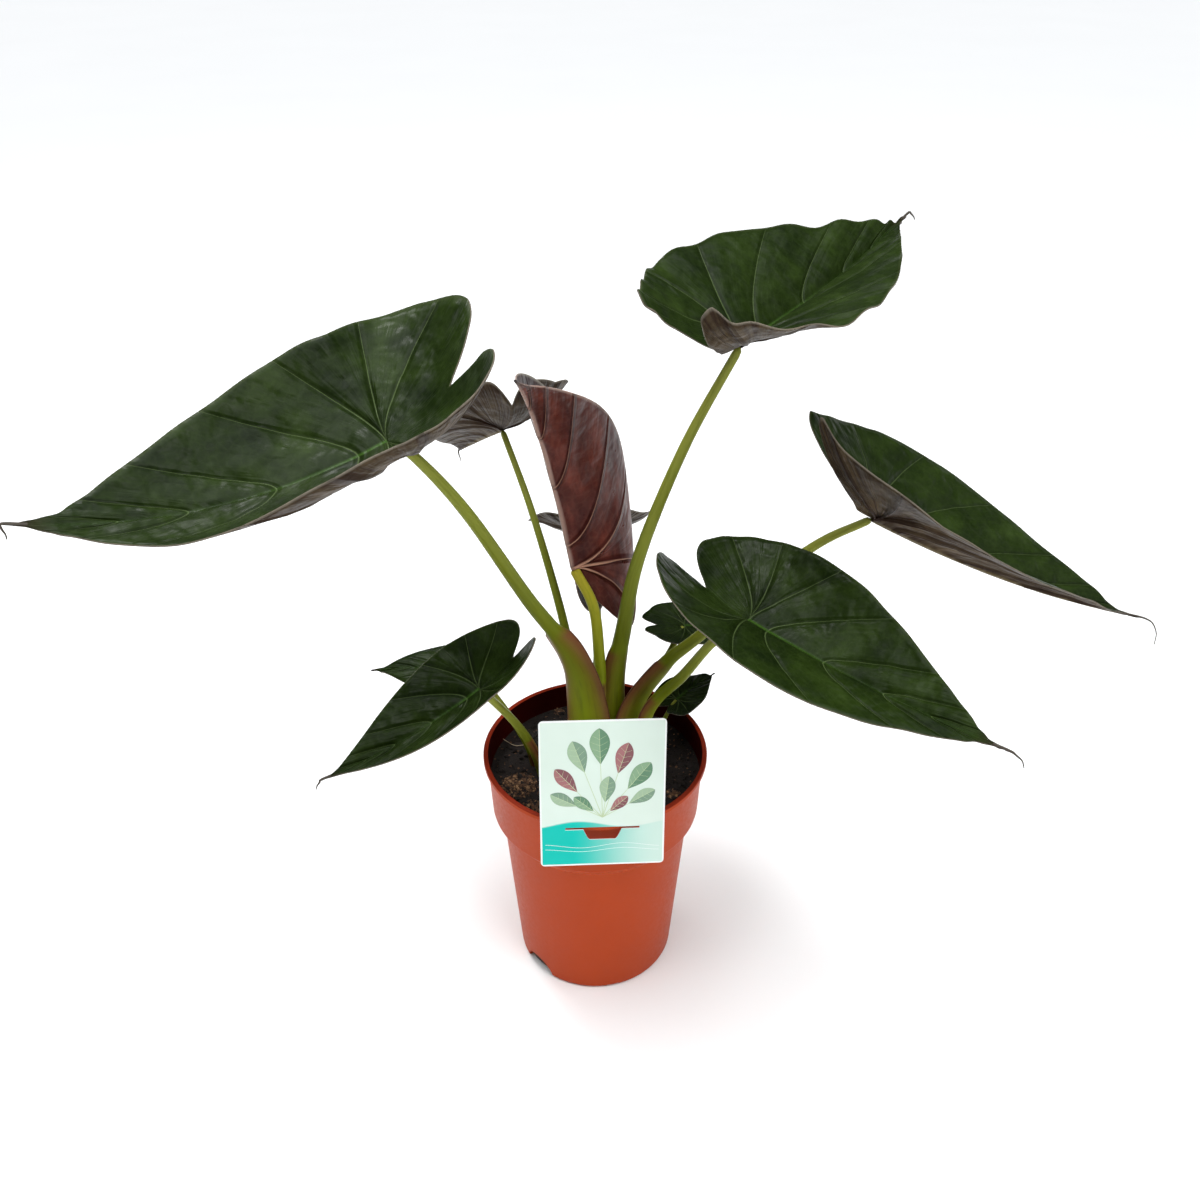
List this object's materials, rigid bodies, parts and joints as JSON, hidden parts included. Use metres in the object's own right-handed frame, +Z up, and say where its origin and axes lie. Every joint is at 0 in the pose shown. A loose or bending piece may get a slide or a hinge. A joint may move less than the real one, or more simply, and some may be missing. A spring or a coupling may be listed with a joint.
{
  "type": "potted alocasia wentii",
  "caption": "Arrow-leaved aroid house plant on sheathed stalks, in a tapering terracotta-coloured nursery pot with a care card hooked over the rim.",
  "frame": {"origin": "middle of the pot's foot, on the surface that the pot stands on", "axes": "+Z up along the pot's axis, +X to the right and +Y away from the viewer of the card's printed side"},
  "size_m": [0.6892, 0.438, 0.5714],
  "materials": {
    "pot": "moulded terracotta-coloured plastic with a soft shine",
    "soil": "dark crumbly potting soil with tan grit",
    "stalk": "smooth waxy yellow-green leaf stalk, purplish brown at the sheath's edges",
    "blade": "glossy dark green leaf with paler veins and a grey-mauve underside",
    "rolled_blade": "maroon-brown underside of a young rolled leaf with tan-pink veins",
    "card": "printed plastic card in pale mint and turquoise"
  },
  "bodies": {
    "root": {"pot": "pot", "soil": "soil", "stem": "stalk", "care_card": "card", "blade_left": "blade", "stalk_left": "stalk", "blade_right_high": "blade", "stalk_right_high": "stalk", "blade_top": "blade", "stalk_top": "stalk", "blade_right_low": "blade", "stalk_right_low": "stalk", "blade_rolled": "rolled_blade", "stalk_rolled": "stalk", "blade_left_low": "blade", "stalk_left_low": "stalk", "blade_back_left": "blade", "stalk_back_left": "stalk", "blade_back": "blade", "stalk_back": "stalk", "blade_back_right": "blade", "stalk_back_right": "stalk", "blade_small_right": "blade", "stalk_small_right": "stalk", "blade_left_behind": "blade", "stalk_left_behind": "stalk"}
  },
  "joints": []
}
